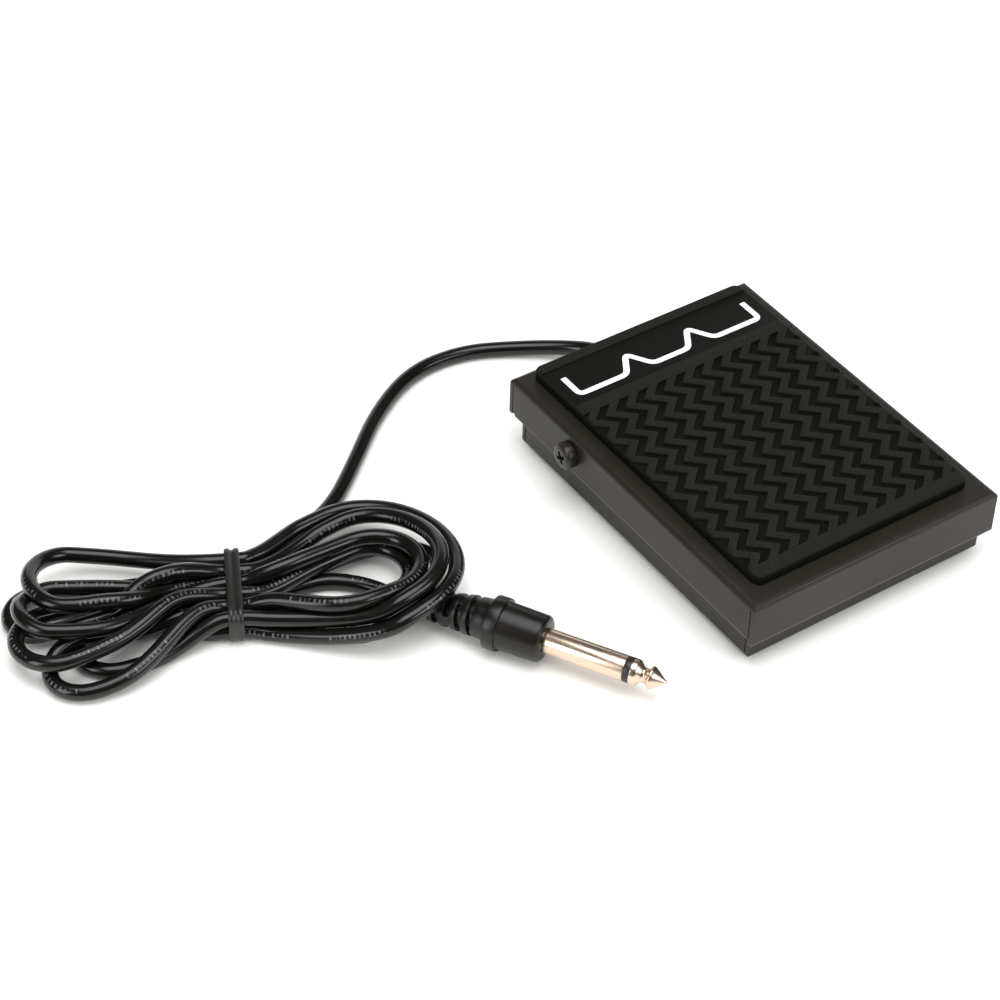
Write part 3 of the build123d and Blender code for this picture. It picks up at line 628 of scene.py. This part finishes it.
for piece in boot_pieces + [handle]:
    piece.select_set(True)
bpy.context.view_layer.objects.active = handle
bpy.ops.object.join()
handle.select_set(False)
plug_pvc = finish(
    "plug_pvc", clean=(0.0045, 0.0036, 0.0026), dusty=(0.025, 0.022, 0.018), dust=0.3,
    smooth=0.27, rough=0.38, grain_scale=1600, grain_depth=0.000008, patch_scale=120,
    Specular_IOR_Level=0.38)
wear(handle, plug_pvc)
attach(handle, "base")
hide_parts("plug_moulding")


# Strain relief: a tapered black PVC sleeve with a groove that snaps into the hole in the
# base pan's rear wall and keeps the cable from bending sharply there.
REAR_WALL, CABLE_HEIGHT = 45.2, 0.0058
relief_place = Matrix.Translation((0, 0, CABLE_HEIGHT)) @ Matrix.Rotation(math.radians(90), 4, "Z")
relief = spun("cable_sleeve", [
    (REAR_WALL - 1.4, 2.02), (REAR_WALL - 1.4, 3.5), (REAR_WALL, 3.5), (REAR_WALL, 3.0),
    (REAR_WALL + 1.2, 3.0), (REAR_WALL + 1.2, 3.8), (REAR_WALL + 2.6, 3.8),
    (REAR_WALL + 2.6, 3.2), (54.0, 2.65), (54.0, 2.02)], 48, relief_place, 0.12, closed=True)
wear(relief, plug_pvc)
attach(relief, "base")
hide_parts("strain_relief")


# Tread mat: one moulding of black rubber glued to the lid. Its top has a smooth recessed
# band at the heel end and deep zigzag grooves over the rest, and its upper edge is rounded.
MAT_HALF, MAT_FRONT, MAT_REAR, MAT_BOTTOM, MAT_TOP = 32.6, -44.5, 47.4, 20.7, 23.7
GROOVE_FLOOR, BAND_FLOOR, BAND_MIDDLE, BAND_LENGTH = 22.8, 23.0, 36.6, 14.8
ZIGZAG_PITCH, ZIGZAG_PERIOD, ZIGZAG_SWING, GROOVE_WIDTH = 5.95, 8.02, 4.3, 2.9
CORNER_ROW, GROOVE_SHIFT = 26.2, 2.4
bpy.ops.mesh.primitive_cube_add(size=1)
mat = bpy.context.object
mat.name = "tread"
bpy.ops.object.mode_set(mode="EDIT")
bpy.ops.transform.resize(value=(
    2 * MAT_HALF / 1000, (MAT_REAR - MAT_FRONT) / 1000, (MAT_TOP - MAT_BOTTOM) / 1000))
bpy.ops.transform.translate(
    value=(0, (MAT_REAR + MAT_FRONT) / 2000, (MAT_TOP + MAT_BOTTOM) / 2000))
bpy.ops.object.mode_set(mode="OBJECT")
pick_edges(mat, lambda a, b: abs(a.z - b.z) > 0.001)
bpy.ops.mesh.bevel(offset=0.0022, segments=6)
bpy.ops.object.mode_set(mode="OBJECT")
pick_edges(mat, lambda a, b: a.z > 0.0236 and b.z > 0.0236)
bpy.ops.mesh.bevel(offset=0.0008, segments=4)
bpy.ops.object.mode_set(mode="OBJECT")
cutters = []
bpy.ops.mesh.primitive_cube_add(size=1)
band_cutter = bpy.context.object
bpy.ops.object.mode_set(mode="EDIT")
bpy.ops.transform.resize(value=(0.08, BAND_LENGTH / 1000, 0.002))
bpy.ops.transform.translate(value=(0, BAND_MIDDLE / 1000, BAND_FLOOR / 1000 + 0.001))
bpy.ops.object.mode_set(mode="OBJECT")
cutters.append(band_cutter)


def zigzag_shift(y):
    """Sideways place of a groove at y, with a right-hand corner at the corner row."""
    phase = (CORNER_ROW - y) / ZIGZAG_PERIOD % 1
    return ZIGZAG_SWING * (abs(2 * phase - 1) - 0.5)


groove_rows = [25.5] + [CORNER_ROW - ZIGZAG_PERIOD / 2 * k for k in range(1, 17)] + [-40.7]
first_row = groove_rows[0]
bpy.ops.mesh.primitive_plane_add(size=1)
groove = bpy.context.object
bpy.ops.object.mode_set(mode="EDIT")
shape = bmesh.from_edit_mesh(groove.data)
for vertex in shape.verts:
    row = groove_rows[1] if vertex.co.y < 0 else first_row
    side_x = GROOVE_WIDTH / 2 * (1 if vertex.co.x > 0 else -1)
    vertex.co = ((zigzag_shift(row) + side_x) / 1000, row / 1000, GROOVE_FLOOR / 1000)
bmesh.update_edit_mesh(groove.data)
for before, row in zip(groove_rows[1:], groove_rows[2:]):
    place = before / 1000
    pick_edges(groove, lambda a, b: max(abs(a.y - place), abs(b.y - place)) < 0.000001)
    bpy.ops.mesh.extrude_region_move(TRANSFORM_OT_translate={
        "value": ((zigzag_shift(row) - zigzag_shift(before)) / 1000, (row - before) / 1000, 0)})
bpy.ops.mesh.select_all(action="SELECT")
bpy.ops.mesh.extrude_region_move(TRANSFORM_OT_translate={"value": (0, 0, 0.002)})
bpy.ops.mesh.select_all(action="SELECT")
bpy.ops.mesh.normals_make_consistent(inside=False)
bpy.ops.object.mode_set(mode="OBJECT")
for k in range(-6, 6):
    copy = bpy.data.objects.new("groove_copy", groove.data.copy())
    copy.data.transform(Matrix.Translation(((GROOVE_SHIFT + k * ZIGZAG_PITCH) / 1000, 0, 0)))
    bpy.context.collection.objects.link(copy)
    cutters.append(copy)
bpy.data.objects.remove(groove)
bpy.ops.object.select_all(action="DESELECT")
for cutter in cutters:
    cutter.select_set(True)
bpy.context.view_layer.objects.active = band_cutter
bpy.ops.object.join()
bpy.ops.object.select_all(action="DESELECT")
mat.select_set(True)
bpy.context.view_layer.objects.active = mat
carve = mat.modifiers.new("carve", "BOOLEAN")
carve.object = band_cutter
carve.operation = "DIFFERENCE"
carve.solver = "EXACT"
bpy.ops.object.modifier_apply(modifier="carve")
bpy.data.objects.remove(band_cutter)
soft = mat.modifiers.new("soft_edges", "BEVEL")
soft.width = 0.00022
soft.segments = 2
soft.limit_method = "ANGLE"
soft.angle_limit = math.radians(50)
bpy.ops.object.modifier_apply(modifier="soft_edges")
bpy.ops.object.shade_smooth_by_angle(angle=math.radians(35))
mat.select_set(False)
tread_rubber = finish(
    "tread_rubber", clean=(0.0105, 0.0102, 0.0080), dusty=(0.040, 0.038, 0.032), dust=0.35,
    smooth=0.6, rough=0.75, grain_scale=1500, grain_depth=0.00003, patch_scale=45,
    Specular_IOR_Level=0.1)
tree = tread_rubber.node_tree
# Painted shade in the recesses: the base colour darkens with depth below the rib tops, most on the
# groove floors and walls, less on the recessed band.
tread_place = add_node(tree, "ShaderNodeTexCoord")
tread_height = add_node(tree, "ShaderNodeSeparateXYZ")
groove_depth_shade = add_node(tree, "ShaderNodeMapRange", From_Min=0.02285, From_Max=0.02362, To_Min=0.2)
groove_shade_mix = add_node(tree, "ShaderNodeMix", data_type="RGBA")
shader = tree.nodes["Principled BSDF"]
tree.links.new(tread_place.outputs["Object"], tread_height.inputs["Vector"])
tree.links.new(tread_height.outputs["Z"], groove_depth_shade.inputs["Value"])
tree.links.new(groove_depth_shade.outputs["Result"], groove_shade_mix.inputs["Factor"])
# The painted shade colour at the groove floors.
groove_shade_mix.inputs[MIX_A].default_value = (0.0018, 0.0017, 0.0013, 1)
tree.links.new(shader.inputs["Base Color"].links[0].from_socket, groove_shade_mix.inputs[MIX_B])
tree.links.new(groove_shade_mix.outputs[MIX_RESULT], shader.inputs["Base Color"])
wear(mat, tread_rubber)
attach(mat, "lid")
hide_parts("tread_mat")


# Print on the band: the plain bracket line that sheet music uses for pressing, changing
# and letting go of this pedal, in thick white ink.
mark_curve = bpy.data.curves.new("pedal_line", "CURVE")
mark_curve.dimensions = "3D"
mark = mark_curve.splines.new("POLY")
mark_corners = [Vector(corner) for corner in (
    (-28.1, 40.4), (-28.1, 33.0), (-13.6, 33.0), (-9.4, 39.6), (-5.2, 33.0), (5.9, 33.0),
    (10.1, 39.6), (14.3, 33.0), (28.8, 33.0), (28.8, 40.4))]
mark_round = 1.6
mark_places = [mark_corners[0]]
for before, corner, after in zip(mark_corners, mark_corners[1:], mark_corners[2:]):
    arrive = (before - corner).normalized() * mark_round
    leave = (after - corner).normalized() * mark_round
    for share in (0, 0.25, 0.5, 0.75, 1):
        mark_places.append(corner + arrive * (1 - share) ** 2 + leave * share ** 2)
mark_places.append(mark_corners[-1])
mark.points.add(len(mark_places) - 1)
for point, (x, y) in zip(mark.points, mark_places):
    point.co = (x / 1000, y / 1000, 0, 1)
mark_curve.bevel_depth = 0.0008
mark_curve.bevel_resolution = 2
mark_curve.use_fill_caps = True
mark_line = bpy.data.objects.new("mark_line", mark_curve)
bpy.context.collection.objects.link(mark_line)
bpy.context.view_layer.update()
print_mesh = bpy.data.meshes.new_from_object(mark_line)
on_band = Matrix.Translation((0, 0, BAND_FLOOR / 1000 + 0.00001))
print_mesh.transform(on_band @ Matrix.Diagonal((1, 1, 0.06, 1)))
bpy.data.objects.remove(mark_line)
pedal_print = bpy.data.objects.new("pedal_line_print", print_mesh)
bpy.context.collection.objects.link(pedal_print)
tidy_shell(pedal_print, 30)
white_ink = finish(
    "white_ink", clean=(0.80, 0.80, 0.78), dusty=(0.62, 0.62, 0.6), dust=0.3, smooth=0.45,
    rough=0.6, grain_scale=1800, grain_depth=0.00001, patch_scale=90)
wear(pedal_print, white_ink)
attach(pedal_print, "lid")


# Lid and base pans: 1.2 mm sheet steel, punched and folded, with a satin black powder
# coat. The base pan stands on four stuck-on rubber feet.
powder_coat = finish(
    "powder_coat", clean=(0.0150, 0.0128, 0.0092), dusty=(0.038, 0.034, 0.028), dust=0.3,
    smooth=0.36, rough=0.48, grain_scale=2600, grain_depth=0.000014, patch_scale=35,
    Specular_IOR_Level=0.3)
tree = powder_coat.node_tree
# A thin pale grey band is painted on the outside of the lid's flanges, just above their lower lip.
FRONT_FLANGE_Y, LIP_START, LIP_SHARE = -0.0486, -0.00005, 0.5
lip_place = add_node(tree, "ShaderNodeTexCoord")
lip_axes = add_node(tree, "ShaderNodeSeparateXYZ")
front_flange = add_node(tree, "ShaderNodeMath", operation="LESS_THAN")
front_flange.inputs[1].default_value = FRONT_FLANGE_Y
lip_height = add_node(tree, "ShaderNodeMapRange", To_Min=0.0097, To_Max=0.0085)
above_lip = add_node(tree, "ShaderNodeMath", operation="SUBTRACT")
lip_mask = add_node(tree, "ShaderNodeMapRange", From_Min=0.00045, From_Max=0.00015)
below_lip = add_node(tree, "ShaderNodeMath", operation="GREATER_THAN")
below_lip.inputs[1].default_value = LIP_START
lip_only = add_node(tree, "ShaderNodeMath", operation="MULTIPLY")
lip_share = add_node(tree, "ShaderNodeMath", operation="MULTIPLY")
lip_share.inputs[1].default_value = LIP_SHARE
lip_mix = add_node(tree, "ShaderNodeMix", data_type="RGBA")
shader = tree.nodes["Principled BSDF"]
tree.links.new(lip_place.outputs["Object"], lip_axes.inputs["Vector"])
tree.links.new(lip_axes.outputs["Y"], front_flange.inputs[0])
tree.links.new(front_flange.outputs["Value"], lip_height.inputs["Value"])
tree.links.new(lip_axes.outputs["Z"], above_lip.inputs[0])
tree.links.new(lip_height.outputs["Result"], above_lip.inputs[1])
tree.links.new(above_lip.outputs["Value"], lip_mask.inputs["Value"])
tree.links.new(above_lip.outputs["Value"], below_lip.inputs[0])
tree.links.new(lip_mask.outputs["Result"], lip_only.inputs[0])
tree.links.new(below_lip.outputs["Value"], lip_only.inputs[1])
tree.links.new(lip_only.outputs["Value"], lip_share.inputs[0])
tree.links.new(lip_share.outputs["Value"], lip_mix.inputs["Factor"])
tree.links.new(shader.inputs["Base Color"].links[0].from_socket, lip_mix.inputs[MIX_A])
lip_mix.inputs[MIX_B].default_value = (0.16, 0.15, 0.135, 1)
tree.links.new(lip_mix.outputs[MIX_RESULT], shader.inputs["Base Color"])
base_coat = finish(
    "base_powder_coat", clean=(0.0150, 0.0128, 0.0092), dusty=(0.038, 0.034, 0.028), dust=0.3,
    smooth=0.36, rough=0.48, grain_scale=2600, grain_depth=0.000014, patch_scale=35,
    Specular_IOR_Level=0.3)
wear(nodes["lid_pan"], powder_coat)
wear(nodes["base_pan"], base_coat)
foot_rubber = finish(
    "foot_rubber", clean=(0.02, 0.02, 0.02), dusty=(0.12, 0.11, 0.10), dust=0.6, smooth=0.6,
    rough=0.8, grain_scale=1200, grain_depth=0.00003, patch_scale=80)
wear(nodes["rubber_feet"], foot_rubber)
stop_rubber = finish(
    "stop_rubber", clean=(0.035, 0.034, 0.033), dusty=(0.10, 0.10, 0.10), dust=0.4, smooth=0.6,
    rough=0.75, grain_scale=1500, grain_depth=0.00003, patch_scale=150)
for name in ("front_bump_stops", "rear_bump_stops", "actuator_pad"):
    wear(nodes[name], stop_rubber)


# Pivot screws: black-finished M4 screws with a cross recess, one in each side of the lid, a
# pan head on the left and a low head on the right. The lid turns on them.
def pivot_screw(name, side, head):
    """One screw along X: a head of the given height in millimetres, cross recess and shank."""
    screw = spun(name, [
        (-8.4, 0), (-8.4, 1.95), (-0.05, 1.95), (-0.05, 3.3), (0.15, 3.5), (head - 1.1, 3.5),
        (head - 0.55, 3.36), (head - 0.2, 2.95), (head - 0.04, 2.3), (head, 1.2), (head, 0)],
        48, Matrix.Identity(4), 0.1)
    slots = []
    for turn in (0, 90):
        bpy.ops.mesh.primitive_cube_add(size=1)
        bar = bpy.context.object
        bpy.ops.object.mode_set(mode="EDIT")
        bpy.ops.transform.resize(value=(0.0036, 0.0052, 0.00115))
        shape = bmesh.from_edit_mesh(bar.data)
        for vertex in shape.verts:
            if vertex.co.x < 0:
                vertex.co.y *= 0.4
                vertex.co.z *= 0.7
        bmesh.update_edit_mesh(bar.data)
        bpy.ops.object.mode_set(mode="OBJECT")
        in_head = Matrix.Translation(((head + 0.2) / 1000, 0, 0))
        bar.data.transform(Matrix.Rotation(math.radians(turn), 4, "X") @ in_head)
        slots.append(bar)
    for bar in slots:
        bpy.ops.object.select_all(action="DESELECT")
        screw.select_set(True)
        bpy.context.view_layer.objects.active = screw
        cut = screw.modifiers.new("recess", "BOOLEAN")
        cut.object = bar
        cut.operation = "DIFFERENCE"
        cut.solver = "EXACT"
        bpy.ops.object.modifier_apply(modifier="recess")
        bpy.data.objects.remove(bar)
    bpy.ops.object.shade_smooth_by_angle(angle=math.radians(35))
    turn_out = Matrix.Rotation(0 if side > 0 else math.pi, 4, "Z")
    recess_turn = Matrix.Rotation(math.radians(28), 4, "X")
    seat = Matrix.Translation((side * 0.03765, 0.0233, 0.0149))
    screw.data.transform(seat @ turn_out @ recess_turn)
    return screw


left_screw = pivot_screw("pivot_screw_left", -1, 3.0)
right_screw = pivot_screw("pivot_screw_right", 1, 1.5)
black_screw = finish(
    "black_screw", clean=(0.018, 0.016, 0.0145), dusty=(0.09, 0.085, 0.08), dust=0.35,
    smooth=0.28, rough=0.42, grain_scale=1800, grain_depth=0.00002, patch_scale=200,
    Metallic=0.3)
for screw in (left_screw, right_screw):
    wear(screw, black_screw)
    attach(screw, "base")
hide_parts("pivot_screws")


# Fasteners and small steel: zinc-plated nuts, posts, screws and switch pins, and the
# polarity switch's flange plate.
zinc = finish(
    "zinc_steel", clean=(0.50, 0.50, 0.49), dusty=(0.30, 0.29, 0.27), dust=0.4, smooth=0.25,
    rough=0.42, grain_scale=1800, grain_depth=0.00001, patch_scale=200, Metallic=1.0)
for name in (
        "pivot_nuts", "board_posts", "board_screws", "clamp_screws", "polarity_screws",
        "microswitch_pins", "polarity_switch"):
    wear(nodes[name], zinc)


# Return spring: a coil of 1.1 mm bright spring wire with closed ends, pressed between the
# base and the lid. It is built at one fixed length.
SPRING_LOW, SPRING_HIGH, SPRING_Y, COIL_RADIUS, COIL_TURNS = 0.00375, 0.01795, -0.008, 0.0055, 7
END_TURN, END_RISE, STEPS_PER_TURN = 0.75, 0.0008, 14
coil_curve = bpy.data.curves.new("coil", "CURVE")
coil_curve.dimensions = "3D"
coil_curve.resolution_u = 4
coil = coil_curve.splines.new("NURBS")
coil_steps = COIL_TURNS * STEPS_PER_TURN
coil.points.add(coil_steps)
for step, point in enumerate(coil.points):
    turn = step / STEPS_PER_TURN
    open_share = min(max((turn - END_TURN) / (COIL_TURNS - 2 * END_TURN), 0), 1)
    closed_turns = min(turn, END_TURN) + max(turn - COIL_TURNS + END_TURN, 0)
    rise = END_RISE * closed_turns / END_TURN
    angle = math.tau * turn
    point.co = (
        COIL_RADIUS * math.cos(angle), SPRING_Y + COIL_RADIUS * math.sin(angle),
        SPRING_LOW + rise + open_share * (SPRING_HIGH - SPRING_LOW - 2 * END_RISE), 1)
coil.order_u = 4
coil.use_endpoint_u = True
coil_curve.bevel_depth = 0.00055
coil_curve.bevel_resolution = 3
coil_curve.use_fill_caps = True
coil_line = bpy.data.objects.new("coil_line", coil_curve)
bpy.context.collection.objects.link(coil_line)
bpy.context.view_layer.update()
coil_mesh = bpy.data.meshes.new_from_object(coil_line)
bpy.data.objects.remove(coil_line)
spring = bpy.data.objects.new("lid_spring", coil_mesh)
bpy.context.collection.objects.link(spring)
tidy_shell(spring, 60)
spring_steel = finish(
    "spring_steel", clean=(0.55, 0.55, 0.56), dusty=(0.32, 0.31, 0.30), dust=0.3, smooth=0.16,
    rough=0.3, grain_scale=3000, grain_depth=0.000006, patch_scale=250, Metallic=1.0)
wear(spring, spring_steel)
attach(spring, "base")
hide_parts("return_spring")
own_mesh(spring)
wear(nodes["microswitch_lever"], spring_steel)


# Nylon parts: the bushes that the lid turns on, the spring's two cups and the saddle that
# clamps the cable inside.
nylon = finish(
    "white_nylon", clean=(0.72, 0.70, 0.62), dusty=(0.5, 0.47, 0.4), dust=0.35, smooth=0.38,
    rough=0.5, grain_scale=1400, grain_depth=0.00001, patch_scale=120, Subsurface_Weight=0.15,
    Subsurface_Scale=0.001)
for name in ("pivot_bushes", "spring_seat", "spring_cap", "cord_clamp"):
    wear(nodes[name], nylon)


# Circuit board: a small fibreglass board in green varnish that carries the micro switch,
# screwed to two posts on the base pan.
board_green = finish(
    "board_green", clean=(0.012, 0.09, 0.035), dusty=(0.03, 0.17, 0.07), dust=0.8, smooth=0.25,
    rough=0.38, grain_scale=900, grain_depth=0.00001, patch_scale=400)
wear(nodes["circuit_board"], board_green)


# Micro switch and polarity slider: moulded black phenolic and nylon with a fine matt grain,
# and a red plunger under the lever.
switch_black = finish(
    "switch_black", clean=(0.016, 0.016, 0.017), dusty=(0.07, 0.07, 0.07), dust=0.3, smooth=0.4,
    rough=0.55, grain_scale=1700, grain_depth=0.000015, patch_scale=250)
plunger_red = finish(
    "plunger_red", clean=(0.38, 0.022, 0.016), dusty=(0.45, 0.1, 0.08), dust=0.3, smooth=0.32,
    rough=0.45, grain_scale=1700, grain_depth=0.00001, patch_scale=300)
wear(nodes["microswitch_body"], switch_black)
wear(nodes["polarity_slider"], switch_black)
wear(nodes["microswitch_plunger"], plunger_red)


# Wires inside: the cable's two cores, red and black, run to the board, and two white
# links run on to the polarity switch.
wire_red = finish(
    "wire_red", clean=(0.42, 0.016, 0.014), dusty=(0.5, 0.08, 0.07), dust=0.3, smooth=0.25,
    rough=0.35, grain_scale=900, grain_depth=0.00001, patch_scale=300)
wire_black = finish(
    "wire_black", clean=(0.014, 0.014, 0.014), dusty=(0.08, 0.08, 0.08), dust=0.3, smooth=0.25,
    rough=0.35, grain_scale=900, grain_depth=0.00001, patch_scale=300)
wire_white = finish(
    "wire_white", clean=(0.68, 0.68, 0.64), dusty=(0.5, 0.5, 0.46), dust=0.3, smooth=0.25,
    rough=0.35, grain_scale=900, grain_depth=0.00001, patch_scale=300)
wear(nodes["signal_wire"], wire_red)
wear(nodes["ground_wire"], wire_black)
wear(nodes["link_wires"], wire_white)
